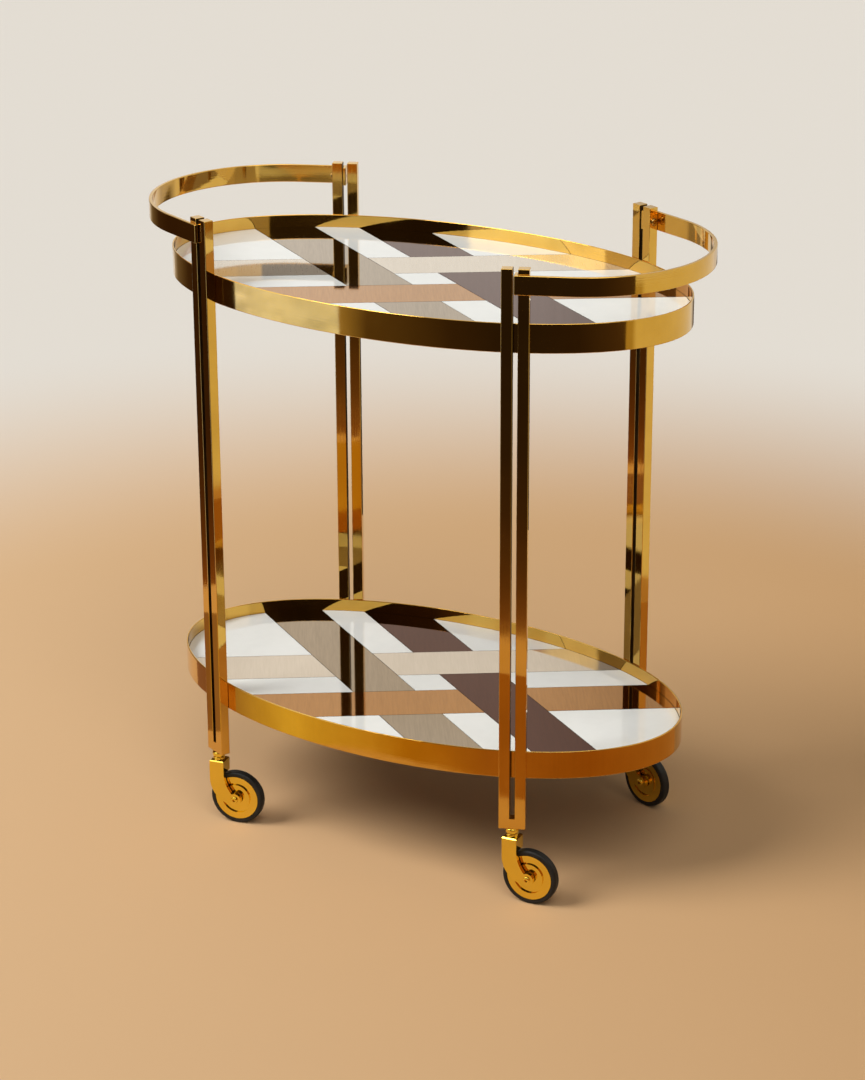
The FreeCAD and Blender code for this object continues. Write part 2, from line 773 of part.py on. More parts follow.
def make_bush(label, place):
    """The sleeve in the disc that turns on the axle and keeps the wheel clear of the arm."""
    body = doc.addObject("PartDesign::Body", label)
    bore = "axle_diameter/2 + axle_clearance"
    near = "-(wheel_side_gap - bush_end_gap)"
    far = "(tyre_width + wheel_side_gap - bush_end_gap)"
    profile = [(bore, near), (BUSH_RADIUS, near), (BUSH_RADIUS, far), (bore, far)]
    turn(body, "Revolution", f"{label}_turned", profile)
    return node(body, label, place)


for corner in CORNERS:
    caster = caster_frame(corner)
    tyre_face = f"{ARM_FACE} + arm_thickness + wheel_side_gap"
    wheel = caster.multiply(at("caster_trail", tyre_face, HUB, **OUTWARD))
    make_stem(f"{corner}_stem", caster)
    make_arm(f"{corner}_arm", caster)
    make_axle(f"{corner}_axle", caster.multiply(at("caster_trail", ARM_FACE, HUB, **INWARD)))
    make_disc(f"{corner}_wheel", wheel)
    make_tyre(f"{corner}_tyre", wheel)
    make_bush(f"{corner}_bush", wheel)


# Checks and files

doc.recompute()
for thing in doc.Objects:
    if "Invalid" in thing.State or "Error" in thing.State:
        raise RuntimeError(f"{thing.Label} failed: {thing.State}")
for thing in nodes:
    if thing.Shape.isNull() or not thing.Shape.isValid() or not thing.Shape.Solids:
        raise RuntimeError(f"{thing.Label} has no valid solid")

os.makedirs("parts", exist_ok=True)
for thing in nodes:
    thing.Shape.exportStep(f"parts/{thing.Label}.step")
    print(thing.Label, len(thing.Shape.Solids), "solids", round(thing.Shape.Volume), "mm3")
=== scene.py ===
import math

import bmesh
import bpy
from mathutils import Matrix, Vector


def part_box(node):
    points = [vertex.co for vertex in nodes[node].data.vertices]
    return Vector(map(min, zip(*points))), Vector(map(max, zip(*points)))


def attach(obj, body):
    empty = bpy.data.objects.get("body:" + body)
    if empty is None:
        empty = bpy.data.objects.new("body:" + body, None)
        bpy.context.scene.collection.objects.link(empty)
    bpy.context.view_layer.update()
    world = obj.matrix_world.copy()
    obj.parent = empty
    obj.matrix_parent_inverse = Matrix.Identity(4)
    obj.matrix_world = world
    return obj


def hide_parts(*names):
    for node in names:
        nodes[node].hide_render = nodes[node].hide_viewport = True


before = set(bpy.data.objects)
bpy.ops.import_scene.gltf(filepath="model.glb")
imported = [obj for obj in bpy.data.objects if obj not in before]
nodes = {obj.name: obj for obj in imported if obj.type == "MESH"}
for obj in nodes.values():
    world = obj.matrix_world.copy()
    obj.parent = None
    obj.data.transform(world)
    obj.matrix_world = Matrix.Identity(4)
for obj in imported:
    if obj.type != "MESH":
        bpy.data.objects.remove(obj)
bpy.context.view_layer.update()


# Tray rims: two oval bands of flat brass-plated strip, rolled to shape, welded shut and polished.
# A flat ledge is welded inside each band below the deck, and the posts are screwed to its skirt.

TRAY_LENGTH = 0.790
TRAY_WIDTH = 0.442
RIM_WALL = 0.0025
RIM_SKIRT = 0.0095
LEDGE_TOP = 0.0115
LEDGE_WIDTH = 0.010
RIM_HEIGHT = 0.040
RIM_EDGE = 0.001
RIM_STATIONS = 240


def link(tree, start, out, end, into):
    tree.links.new(start.outputs[out], end.inputs[into])


def tones(tree, factor, out, low, high, start=0.3, end=0.7):
    """A ramp between two colours, driven by an output of a node."""
    ramp = tree.nodes.new("ShaderNodeValToRGB")
    ramp.color_ramp.elements[0].position = start
    ramp.color_ramp.elements[0].color = (*low, 1)
    ramp.color_ramp.elements[1].position = end
    ramp.color_ramp.elements[1].color = (*high, 1)
    link(tree, factor, out, ramp, "Fac")
    return ramp


def spread(tree, factor, out, low, high, start=0.3, end=0.7):
    """The same for a number."""
    reach = tree.nodes.new("ShaderNodeMapRange")
    reach.inputs["From Min"].default_value = start
    reach.inputs["From Max"].default_value = end
    reach.inputs["To Min"].default_value = low
    reach.inputs["To Max"].default_value = high
    link(tree, factor, out, reach, "Value")
    return reach


def speckle(tree, scale, stretch=(1, 1, 1), detail=3.0, roughness=0.55):
    """Noise in the piece's own metres, stretched along its axes."""
    place = tree.nodes.new("ShaderNodeTexCoord")
    mapping = tree.nodes.new("ShaderNodeMapping")
    mapping.inputs["Scale"].default_value = stretch
    noise = tree.nodes.new("ShaderNodeTexNoise")
    noise.inputs["Scale"].default_value = scale
    noise.inputs["Detail"].default_value = detail
    noise.inputs["Roughness"].default_value = roughness
    link(tree, place, "Object", mapping, "Vector")
    link(tree, mapping, "Vector", noise, "Vector")
    return noise


def raise_surface(tree, shader, sources):
    """Bumps the shader's surface by a chain of (node, output, strength, height)."""
    below = None
    for source, out, strength, height in sources:
        bump = tree.nodes.new("ShaderNodeBump")
        bump.inputs["Strength"].default_value = strength
        bump.inputs["Distance"].default_value = height
        link(tree, source, out, bump, "Height")
        if below:
            link(tree, below, "Normal", bump, "Normal")
        below = bump
    link(tree, below, "Normal", shader, "Normal")


def new_material(name):
    material = bpy.data.materials.new(name)
    material.use_nodes = True
    tree = material.node_tree
    return material, tree, tree.nodes["Principled BSDF"]


def polished_brass(name, stretch, low=(0.70, 0.40, 0.06), high=(0.80, 0.48, 0.09)):
    """Polished brass plate under clear lacquer, with fine polishing lines, smudges and a slow waviness."""
    material, tree, shader = new_material(name)
    shader.inputs["Metallic"].default_value = 1.0
    shader.inputs["Coat Weight"].default_value = 0.45
    shader.inputs["Coat Roughness"].default_value = 0.03
    lines = speckle(tree, 110, stretch, detail=4)
    smudges = speckle(tree, 14, detail=5)
    waves = speckle(tree, 22, detail=1)
    link(tree, tones(tree, smudges, "Fac", low, high), "Color", shader, "Base Color")
    gloss = tree.nodes.new("ShaderNodeMath")
    gloss.operation = "ADD"
    link(tree, spread(tree, lines, "Fac", 0.015, 0.06), "Result", gloss, 0)
    link(tree, spread(tree, smudges, "Fac", 0.0, 0.07, 0.45, 0.75), "Result", gloss, 1)
    link(tree, gloss, "Value", shader, "Roughness")
    raise_surface(tree, shader, [(waves, "Fac", 0.25, 0.0006), (lines, "Fac", 0.06, 0.0002)])
    return material


def rounded(piece, width, angle=40, segments=3):
    """Eases the sharp edges of a piece and keeps its flat faces flat."""
    bevel = piece.modifiers.new("eased_edges", "BEVEL")
    bevel.width = width
    bevel.segments = segments
    bevel.limit_method = "ANGLE"
    bevel.angle_limit = math.radians(angle)
    bevel.harden_normals = True
    return bevel


def new_piece(name, mesh, material, body, replaced):
    """Links a mesh as a piece that rides on a body, takes a slot's finish and stands for a node."""
    for face in mesh.polygons:
        face.use_smooth = True
    mesh.materials.append(material)
    piece = bpy.data.objects.new(name, mesh)
    bpy.context.scene.collection.objects.link(piece)
    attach(piece, body)
    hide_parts(replaced)
    return piece


def sweep(name, rows, closed):
    """A mesh skinned over rows of points that each go round one closed section."""
    mesh = bpy.data.meshes.new(name)
    across = len(rows[0])
    points = [point for row in rows for point in row]
    faces = []
    for k in range(len(rows) if closed else len(rows) - 1):
        near = k*across
        far = (k + 1) % len(rows)*across
        for j in range(across):
            i = (j + 1) % across
            faces.append((near + j, near + i, far + i, far + j))
    if not closed:
        faces.append(tuple(range(across))[::-1])
        faces.append(tuple(range(len(points) - across, len(points))))
    mesh.from_pydata(points, [], faces)
    whole = bmesh.new()
    whole.from_mesh(mesh)
    bmesh.ops.recalc_face_normals(whole, faces=whole.faces)
    whole.to_mesh(mesh)
    whole.free()
    return mesh


rim_brass = polished_brass("rim_brass", (0.05, 0.05, 8))
rim_section = [
    (0, 0),
    (0, RIM_HEIGHT),
    (RIM_WALL, RIM_HEIGHT),
    (RIM_WALL, LEDGE_TOP),
    (RIM_WALL + LEDGE_WIDTH, LEDGE_TOP),
    (RIM_WALL + LEDGE_WIDTH, RIM_SKIRT),
    (RIM_WALL, RIM_SKIRT),
    (RIM_WALL, 0),
]
for tray in ("lower", "upper"):
    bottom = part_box(f"{tray}_rim")[0].z
    rows = []
    for k in range(RIM_STATIONS):
        turned = 2*math.pi*k/RIM_STATIONS
        row = []
        for inset, height in rim_section:
            x = (TRAY_LENGTH/2 - inset)*math.cos(turned)
            y = (TRAY_WIDTH/2 - inset)*math.sin(turned)
            row.append((x, y, bottom + height))
        rows.append(row)
    band = sweep(f"{tray}_rim_band", rows, True)
    rim = new_piece(f"{tray}_rim_band", band, rim_brass, "root", f"{tray}_rim")
    rounded(rim, RIM_EDGE)


# Deck boards: oval fibreboard panels that lie on the ledges under the glass.
# Only their edges in the pane joints and their undersides can be seen.


def fibreboard():
    material, tree, shader = new_material("fibreboard")
    fibres = speckle(tree, 900, (1, 1, 0.4), detail=6)
    patches = speckle(tree, 18, detail=3)
    brown = tones(tree, fibres, "Fac", (0.10, 0.062, 0.035), (0.19, 0.125, 0.075))
    link(tree, brown, "Color", shader, "Base Color")
    link(tree, spread(tree, patches, "Fac", 0.7, 0.9), "Result", shader, "Roughness")
    raise_surface(tree, shader, [(fibres, "Fac", 0.3, 0.0003)])
    return material


def paint(node, material):
    mesh = nodes[node].data
    mesh.materials.clear()
    mesh.materials.append(material)


board_panel = fibreboard()
for tray in ("lower", "upper"):
    paint(f"{tray}_board", board_panel)


# Deck panes: 4 mm glass cut to a woven-strip pattern and bonded to the board with fine joints.
# Four colours are tinted mirror, the rest is white back-painted glass; every edge is ground and polished.

PANE_EDGE = 0.0011
TINTED_EDGE = (0.025, 0.02, 0.016)
WHITE_EDGE = (0.32, 0.35, 0.32)
WEAVE_ANGLE = math.radians(33.7)
LINE_LENGTH = 18
PANE_TINTS = {
    "champagne": ((0.75, 0.665, 0.55), (0.82, 0.735, 0.615), 0.62),
    "copper": ((0.50, 0.245, 0.072), (0.575, 0.29, 0.09), 1.0),
    "bronze": ((0.405, 0.325, 0.23), (0.465, 0.375, 0.268), 1.0),
    "plum": ((0.086, 0.02, 0.004), (0.106, 0.028, 0.008), 1.0),
}


def ground_edges(tree, face, out, edge):
    """Turns a face colour into the colour of the ground edge where the surface isn't level."""
    geometry = tree.nodes.new("ShaderNodeNewGeometry")
    split = tree.nodes.new("ShaderNodeSeparateXYZ")
    link(tree, geometry, "Normal", split, "Vector")
    blend = tree.nodes.new("ShaderNodeMix")
    blend.data_type = "RGBA"
    blend.inputs["A"].default_value = (*edge, 1)
    link(tree, spread(tree, split, "Z", 0, 1, 0.75, 0.95), "Result", blend, "Factor")
    link(tree, face, out, blend, "B")
    return blend


def drawn_lines(tree):
    """Fine lines across the strips, left in the sheet when the glass was drawn."""
    place = tree.nodes.new("ShaderNodeTexCoord")
    mapping = tree.nodes.new("ShaderNodeMapping")
    mapping.vector_type = "TEXTURE"
    mapping.inputs["Rotation"].default_value = (0, 0, WEAVE_ANGLE)
    mapping.inputs["Scale"].default_value = (1, LINE_LENGTH, 1)
    noise = tree.nodes.new("ShaderNodeTexNoise")
    noise.inputs["Scale"].default_value = 450
    noise.inputs["Detail"].default_value = 2
    link(tree, place, "Object", mapping, "Vector")
    link(tree, mapping, "Vector", noise, "Vector")
    return noise


def tinted_mirror(name, low, high, silver):
    """Silvered tinted glass: faint drawn lines, a grain in the silvering and a slight ripple."""
    material, tree, shader = new_material(name)
    shader.inputs["Metallic"].default_value = silver
    shader.inputs["Coat Weight"].default_value = 0.15
    shader.inputs["Coat Roughness"].default_value = 0.02
    shader.inputs["Coat IOR"].default_value = 1.5
    grain = speckle(tree, 700, detail=4)
    ripple = speckle(tree, 240, detail=2)
    face = tones(tree, drawn_lines(tree), "Fac", low, high, 0.25, 0.75)
    link(tree, ground_edges(tree, face, "Color", TINTED_EDGE), "Result", shader, "Base Color")
    link(tree, spread(tree, grain, "Fac", 0.02, 0.07), "Result", shader, "Roughness")
    raise_surface(tree, shader, [(ripple, "Fac", 0.10, 0.0001), (grain, "Fac", 0.06, 0.00005)])
    return material


def white_glass():
    """White lacquer seen through clear glass."""
    material, tree, shader = new_material("white_glass")
    shader.inputs["IOR"].default_value = 1.5
    shader.inputs["Coat Weight"].default_value = 0.4
    shader.inputs["Coat Roughness"].default_value = 0.02
    cloud = speckle(tree, 30, detail=4)
    face = tones(tree, cloud, "Fac", (0.84, 0.87, 0.865), (0.88, 0.91, 0.905))
    link(tree, ground_edges(tree, face, "Color", WHITE_EDGE), "Result", shader, "Base Color")
    link(tree, spread(tree, cloud, "Fac", 0.03, 0.07), "Result", shader, "Roughness")
    raise_surface(tree, shader, [(speckle(tree, 240, detail=2), "Fac", 0.05, 0.0001)])
    return material


pane_glass = {colour: tinted_mirror(f"{colour}_glass", *tint) for colour, tint in PANE_TINTS.items()}
pane_glass["white"] = white_glass()
for tray in ("lower", "upper"):
    for colour, material in pane_glass.items():
        paint(f"{tray}_{colour}_panes", material)
        rounded(nodes[f"{tray}_{colour}_panes"], PANE_EDGE, segments=2)


# Posts: at each corner two square brass tubes with closed tops stand on one solid foot.
# They are welded to the foot, ground flush and polished, and touch both rims with their inner faces.

POST_SPAN = 0.482
BAR_WIDTH = 0.015
BAR_DEPTH = 0.014
BAR_GAP = 0.007
FOOT_HEIGHT = 0.015
BAR_EDGE = 0.0008
CORNERS = {
    "front_left": (-1, -1),
    "front_right": (1, -1),
    "back_left": (-1, 1),
    "back_right": (1, 1),
}

# The posts touch the oval rims at (POST_SPAN/2, post_y) and stand square to them.
post_y = TRAY_WIDTH/2*math.sqrt(1 - (POST_SPAN/TRAY_LENGTH)**2)
rim_normal = Vector((POST_SPAN/2/TRAY_LENGTH**2, post_y/TRAY_WIDTH**2, 0)).normalized()


def post_place(end, side):
    """A post's frame: origin where it touches the rims, Y outward, X along the rim to the cart's end."""
    outward = Vector((end*rim_normal.x, side*rim_normal.y, 0))
    along = Vector((end*rim_normal.y, -side*rim_normal.x, 0))
    place = Matrix.Identity(4)
    place.col[0] = (*along, 0)
    place.col[1] = (*outward, 0)
    place.col[3] = (end*POST_SPAN/2, side*post_y, 0, 1)
    return place


def block(name, low, high, place, open_height, gap_side):
    """A box in a post's frame, sharp where it is welded on, with its second material, dark with painted
    shade, on the gap's side.
    """
    mesh = bpy.data.meshes.new(name)
    shape = bmesh.new()
    bmesh.ops.create_cube(shape, size=1)
    weight = shape.edges.layers.float.new("bevel_weight_edge")
    for vertex in shape.verts:
        vertex.co = [low[k] if vertex.co[k] < 0 else high[k] for k in range(3)]
    for edge in shape.edges:
        edge.smooth = not all(abs(vertex.co.z - open_height) < 1e-6 for vertex in edge.verts)
        edge[weight] = 1.0 if edge.smooth else 0.0
    bmesh.ops.recalc_face_normals(shape, faces=shape.faces)
    for face in shape.faces:
        face.material_index = 1 if face.normal.x*gap_side > 0.5 else 0
    bmesh.ops.transform(shape, matrix=place, verts=shape.verts)
    bmesh.ops.recalc_face_normals(shape, faces=shape.faces)
    shape.to_mesh(mesh)
    shape.free()
    return mesh


def gap_shade_brass():
    """Brass that the polishing wheel can't reach, dull with tarnish, and painted dark for the shade in the
    gaps between the bars.
    """
    material, tree, shader = new_material("gap_shade_brass")
    shader.inputs["Metallic"].default_value = 1.0
    tarnish = speckle(tree, 90, (1, 1, 0.2), detail=5)
    # Painted shade: these very dark tones stand in for the shade inside the narrow gaps.
    painted_gap_shade = tones(tree, tarnish, "Fac", (0.05, 0.026, 0.008), (0.11, 0.06, 0.018))
    link(tree, painted_gap_shade, "Color", shader, "Base Color")
    link(tree, spread(tree, tarnish, "Fac", 0.35, 0.55), "Result", shader, "Roughness")
    raise_surface(tree, shader, [(tarnish, "Fac", 0.2, 0.0002)])
    return material


post_brass = polished_brass("post_brass", (6, 6, 0.05))
gap_brass_painted_shade = gap_shade_brass()
for corner, (end, side) in CORNERS.items():
    place = post_place(end, side)
    foot_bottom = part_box(f"{corner}_foot")[0].z
    seam = foot_bottom + FOOT_HEIGHT
    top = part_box(f"{corner}_end_bar")[1].z
    half = BAR_GAP/2 + BAR_WIDTH
    spans = {
        "end_bar": (BAR_GAP/2, half, seam, top, -1),
        "middle_bar": (-half, -BAR_GAP/2, seam, top, 1),
        "foot": (-half, half, foot_bottom, seam, 0),
    }
    for piece_name, (near, far, low, high, gap_side) in spans.items():
        name = f"{corner}_{piece_name}"
        mesh = block(f"{name}_tube", (near, 0, low), (far, BAR_DEPTH, high), place, seam, gap_side)
        piece = new_piece(f"{name}_tube", mesh, post_brass, "root", name)
        if gap_side:
            mesh.materials.append(gap_brass_painted_shade)
        rounded(piece, BAR_EDGE).limit_method = "WEIGHT"


# Handles: flat brass bars bent round the ends of the cart at the top of the posts.
# Their ends are turned in as tabs that sit in the gaps between the bars and are screwed there.

HANDLE_THICKNESS = 0.005
HANDLE_RUN = 0.070
HANDLE_EDGE = 0.001
BAND_CLEARANCE = 0.00005
BAND_INSIDE = BAR_DEPTH + BAND_CLEARANCE
BAND_OUTSIDE = BAND_INSIDE + HANDLE_THICKNESS
TAB_SETBACK = 0.001
TAB_SIDE_GAP = 0.0001
TAB_FREE_GAP = 0.0019
TAB_FACE = BAR_GAP/2 - TAB_SIDE_GAP
TAB_BACK = TAB_FACE - (BAR_GAP - TAB_SIDE_GAP - TAB_FREE_GAP)
BEND_STATIONS = 120

handle_brass = polished_brass("handle_brass", (0.05, 0.05, 8))
for label, end in (("left", -1), ("right", 1)):
    low, high = (corner.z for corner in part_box(f"{label}_handle"))
    inside = []
    outside = []
    for side in (-1, 1):
        place = post_place(end, side)
        stations = [
            (TAB_FACE, TAB_BACK, TAB_SETBACK, TAB_SETBACK),
            (TAB_FACE, TAB_BACK, BAND_INSIDE, BAND_OUTSIDE),
            (HANDLE_RUN, HANDLE_RUN, BAND_INSIDE, BAND_OUTSIDE),
        ]
        inner = [place @ Vector((along, out, 0)) for along, _, out, _ in stations]
        outer = [place @ Vector((along, out, 0)) for _, along, _, out in stations]
        if side < 0:
            start = inner[-1]
            centre = Vector((start.x - abs(start.y)*end*rim_normal.x/rim_normal.y, 0, 0))
            inside += inner
            outside += outer
            half_turn = math.atan2(abs(start.y), abs(start.x - centre.x))
            for k in range(1, BEND_STATIONS):
                turned = half_turn*(2*k/BEND_STATIONS - 1)
                spoke = Vector((end*math.cos(turned), math.sin(turned), 0))
                radius = (start - centre).length
                inside.append(centre + spoke*radius)
                outside.append(centre + spoke*(radius + HANDLE_THICKNESS))
        else:
            inside += inner[::-1]
            outside += outer[::-1]
    rows = []
    for near, far in zip(inside, outside):
        under = [(near.x, near.y, low), (far.x, far.y, low)]
        over = [(far.x, far.y, high), (near.x, near.y, high)]
        rows.append(under + over)
    name = f"{label}_handle_band"
    band = sweep(name, rows, False)
    handle = new_piece(name, band, handle_brass, "root", f"{label}_handle")
    rounded(handle, HANDLE_EDGE)


# Screws: button head screws with hexagon sockets hold the handle tabs to the end bars.
# Plain plated screws hold the rims' skirts to the bars from inside, out of sight below the decks.


def plated_steel():
    material, tree, shader = new_material("plated_steel")
    shader.inputs["Metallic"].default_value = 1.0
    spots = speckle(tree, 500, detail=3)
    zinc = tones(tree, spots, "Fac", (0.50, 0.50, 0.50), (0.64, 0.64, 0.63))
    link(tree, zinc, "Color", shader, "Base Color")
    link(tree, spread(tree, spots, "Fac", 0.22, 0.4), "Result", shader, "Roughness")
    return material


# The screw heads' brass is painted darker than the rest: painted shade, for heads that sit in the shade of
# the handle ends.
screw_brass_painted_shade = polished_brass("screw_brass_painted_shade", (8, 8, 8), (0.30, 0.17, 0.04), (0.42, 0.25, 0.06))
paint("handle_screws", screw_brass_painted_shade)
paint("tray_screws", plated_steel())


# Casters: a turned stem screwed into each foot carries a one-sided arm that swivels under its flange.
# Arm, stem and axle are polished brass; the arm is bent from the swivel block down to the hub.

ARM_EDGE = 0.0006
# The casters' brass is lighter and yellower than the posts': partly its own plating, partly a painted
# reflection of the bright floor sheen it mirrors.
CASTER_GOLD_AND_SHEEN = ((0.86, 0.60, 0.06), (0.96, 0.68, 0.08))

caster_brass = polished_brass("caster_brass", (5, 5, 5), *CASTER_GOLD_AND_SHEEN)
for corner in CORNERS:
    for piece_name in ("stem", "arm", "axle"):
        paint(f"{corner}_{piece_name}", caster_brass)
    rounded(nodes[f"{corner}_arm"], ARM_EDGE)


# Wheels: turned brass discs with a ring groove in each face, shod with black rubber tyres.
# A nylon sleeve pressed into each disc turns on the axle.


def tyre_rubber():
    material, tree, shader = new_material("tyre_rubber")
    shader.inputs["Specular IOR Level"].default_value = 0.28
    dust = speckle(tree, 90, detail=5)
    pores = speckle(tree, 1500, detail=2)
    black = tones(tree, dust, "Fac", (0.006, 0.006, 0.006), (0.016, 0.016, 0.015))
    link(tree, black, "Color", shader, "Base Color")
    link(tree, spread(tree, dust, "Fac", 0.42, 0.6), "Result", shader, "Roughness")
    raise_surface(tree, shader, [(pores, "Fac", 0.15, 0.0001)])
    return material


def nylon():
    material, tree, shader = new_material("nylon")
    cloud = speckle(tree, 300, detail=3)
    milky = tones(tree, cloud, "Fac", (0.62, 0.60, 0.54), (0.72, 0.70, 0.65))
    link(tree, milky, "Color", shader, "Base Color")
    link(tree, spread(tree, cloud, "Fac", 0.35, 0.5), "Result", shader, "Roughness")
    return material


# The wheels take the same lighter tone, partly painted reflection.
wheel_brass = polished_brass("wheel_brass", (5, 5, 5), *CASTER_GOLD_AND_SHEEN)
tyre_black = tyre_rubber()
sleeve_nylon = nylon()
for corner in CORNERS:
    paint(f"{corner}_wheel", wheel_brass)
    paint(f"{corner}_tyre", tyre_black)
    paint(f"{corner}_bush", sleeve_nylon)


# Floor: one plain matt sheet that the cart stands on, warm near the cart and pale further off, with painted
# shade that darkens it towards the right.
# Its far tone is that of the surround, so that no edge shows where they meet.

# The right-hand near tone is painted shade: the same warm floor, drawn darker on the right side of the view.
NEAR_LEFT = (0.74, 0.50, 0.29)
NEAR_RIGHT_PAINTED_SHADE = (0.55, 0.335, 0.165)
FAR_FLOOR = (0.786, 0.757, 0.713)
ACROSS_VIEW = (0.858, 0.513, 0)
SHADE_REACH = 0.9
FADE_START = 1.1
FADE_END = 2.4
FLOOR_SIZE = 60


def floor_with_painted_shade():
    """A warm tone round the cart, darkened towards the right by painted shade, that fades to the surround's
    tone.
    """
    material, tree, shader = new_material("floor_with_painted_shade")
    shader.inputs["Specular IOR Level"].default_value = 0.0
    place = tree.nodes.new("ShaderNodeTexCoord")
    across = tree.nodes.new("ShaderNodeVectorMath")
    across.operation = "DOT_PRODUCT"
    across.inputs[1].default_value = ACROSS_VIEW
    link(tree, place, "Object", across, 0)
    away = tree.nodes.new("ShaderNodeVectorMath")
    away.operation = "LENGTH"
    link(tree, place, "Object", away, 0)
    fade = spread(tree, away, "Value", 0, 1, FADE_START, FADE_END)
    fade.interpolation_type = "SMOOTHSTEP"
    # Painted shade: the warm tone darkens across the view towards the right.
    painted_shade_ramp = spread(tree, across, "Value", 0, 1, -SHADE_REACH, SHADE_REACH)
    near = tones(tree, painted_shade_ramp, "Result", NEAR_LEFT, NEAR_RIGHT_PAINTED_SHADE, 0, 1)
    blend = tree.nodes.new("ShaderNodeMix")
    blend.data_type = "RGBA"
    blend.inputs["B"].default_value = (*FAR_FLOOR, 1)
    link(tree, fade, "Result", blend, "Factor")
    link(tree, near, "Color", blend, "A")
    link(tree, blend, "Result", shader, "Base Color")
    link(tree, spread(tree, speckle(tree, 40), "Fac", 0.55, 0.7), "Result", shader, "Roughness")
    return material


floor_mesh = bpy.data.meshes.new("floor")
half = FLOOR_SIZE/2
floor_corners = [(-half, -half, 0), (half, -half, 0), (half, half, 0), (-half, half, 0)]
floor_mesh.from_pydata(floor_corners, [], [(0, 1, 2, 3)])
floor = bpy.data.objects.new("floor", floor_mesh)
bpy.context.scene.collection.objects.link(floor)
floor_mesh.materials.append(floor_with_painted_shade())


# Cards: curved glowing sheets, dark and pale, that stand round the cart and give brass and glass painted
# reflections to mirror.
# They shade nothing and can't be seen themselves; the low ones carry a painted reflection of the floor at
# their feet.

CARD_STEP = 3
PAINTED_REFLECTION_HEIGHT = 0.11
PALE = (0.77, 0.72, 0.65)
EVEN = (1, 1, 1)
DOUBLE = (2, 2, 2)
COOL = (0.98, 1.08, 1.6)
# The two floor glows are painted reflections of the floor, added at the feet of the low cards.
DUSK = (0.16, 0.12, 0.08)
PAINTED_FLOOR_REFLECTION = (0.22, 0.09, 0.03)
PAINTED_LEFT_FLOOR_REFLECTION = (0.20, 0.066, 0.013)


def card(name, bearings, heights, painted_reflection=(0, 0, 0), streaks=(450, 0.01, 0.95, 1.05), radius=1.2):
    """A curved card, seen only in polished surfaces.

    Its glow colours are given by bearing, scaled by height, and a painted reflection of the floor is added
    near its foot.
    The streaks in its glow are given by their number in a metre, their shortness and the range of their
    brightness.
    """
    points = []
    colours = []
    stations = []
    for (start, near), (end, far) in zip(bearings, bearings[1:]):
        steps = max(1, round(abs(end - start)/CARD_STEP))
        for k in range(steps + 1):
            share = k/steps
            stations.append((start + (end - start)*share, [a + (b - a)*share for a, b in zip(near, far)]))
    for bearing, colour in stations:
        turned = math.radians(bearing)
        for height, scale in heights:
            points.append((radius*math.cos(turned), radius*math.sin(turned), height))
            reflection_fade = math.exp(-height/PAINTED_REFLECTION_HEIGHT)
            colours += [a*b + reflection_fade*c for a, b, c in zip(colour, scale, painted_reflection)] + [1]
    rings = len(heights)
    faces = []
    for k in range(len(stations) - 1):
        for j in range(rings - 1):
            corner = k*rings + j
            faces.append((corner, corner + rings, corner + rings + 1, corner + 1))
    mesh = bpy.data.meshes.new(name)
    mesh.from_pydata(points, [], faces)
    mesh.attributes.new("colour", "FLOAT_COLOR", "POINT").data.foreach_set("color", colours)
    material, tree, shader = new_material(name)
    shader.inputs["Base Color"].default_value = (0, 0, 0, 1)
    shader.inputs["Roughness"].default_value = 1.0
    shader.inputs["Specular IOR Level"].default_value = 0.0
    dye = tree.nodes.new("ShaderNodeAttribute")
    dye.attribute_name = "colour"
    link(tree, dye, "Color", shader, "Emission Color")
    number, shortness, dim, bright = streaks
    streak_noise = speckle(tree, number, (1, 1, shortness), detail=2)
    link(tree, spread(tree, streak_noise, "Fac", dim, bright), "Result", shader, "Emission Strength")
    mesh.materials.append(material)
    piece = bpy.data.objects.new(name, mesh)
    bpy.context.scene.collection.objects.link(piece)
    piece.visible_camera = False
    piece.visible_diffuse = False
    piece.visible_shadow = False


glow_heights = [(height, EVEN) for height in (0, 0.04, 0.09, 0.15, 0.22, 0.32, 0.5)]
card(
    "front_card",
    [
        (-117, (0.36, 0.28, 0.15)),
        (-109, (0.10, 0.065, 0.03)),
        (-85, (0.04, 0.024, 0.012)),
        (-64, (0.02, 0.0135, 0.01)),
        (-40, (0.03, 0.018, 0.01)),
        (-16, (0.07, 0.04, 0.02)),
    ],
    glow_heights + [(0.88, EVEN)],
    PAINTED_FLOOR_REFLECTION,
)
card(
    "upper_front_card",
    [(-117, (0.05, 0.036, 0.02)), (-46, (0.036, 0.026, 0.016))],
    [(0.88, EVEN), (1.65, EVEN)],
)
card(
    "pale_card",
    [(-46, (0.60, 0.56, 0.50)), (-16, (0.66, 0.62, 0.56))],
    [(0.88, (0.5, 0.5, 0.5)), (0.95, EVEN), (1.5, EVEN)],
)
card(
    "left_card",
    [
        (158, (0.50, 0.42, 0.30)),
        (166, (0.16, 0.11, 0.05)),
        (180, (0.05, 0.026, 0.011)),
        (208, (0.022, 0.009, 0.003)),
    ],
    glow_heights + [(1.0, EVEN)],
    PAINTED_LEFT_FLOOR_REFLECTION,
)
card(
    "upper_left_card",
    [(158, DUSK), (181, DUSK), (187, (0.62, 0.54, 0.42)), (208, (0.72, 0.64, 0.52))],
    [(1.0, EVEN), (1.6, EVEN)],
)
card(
    "window_card",
    [(-152, (0.94, 1.0, 1.12)), (-117, (0.94, 1.0, 1.12))],
    [(0, COOL), (0.62, COOL), (0.72, EVEN), (0.9, EVEN), (1.0, DOUBLE), (1.8, DOUBLE)],
    streaks=(5, 12, 0.6, 1.25),
)
card(
    "right_card",
    [
        (-16, (0.46, 0.34, 0.11)),
        (-12, (0.46, 0.35, 0.12)),
        (-9, (0.74, 0.66, 0.42)),
        (40, (0.76, 0.70, 0.54)),
        (70, PALE),
    ],
    [(0, EVEN), (0.66, EVEN)],
)
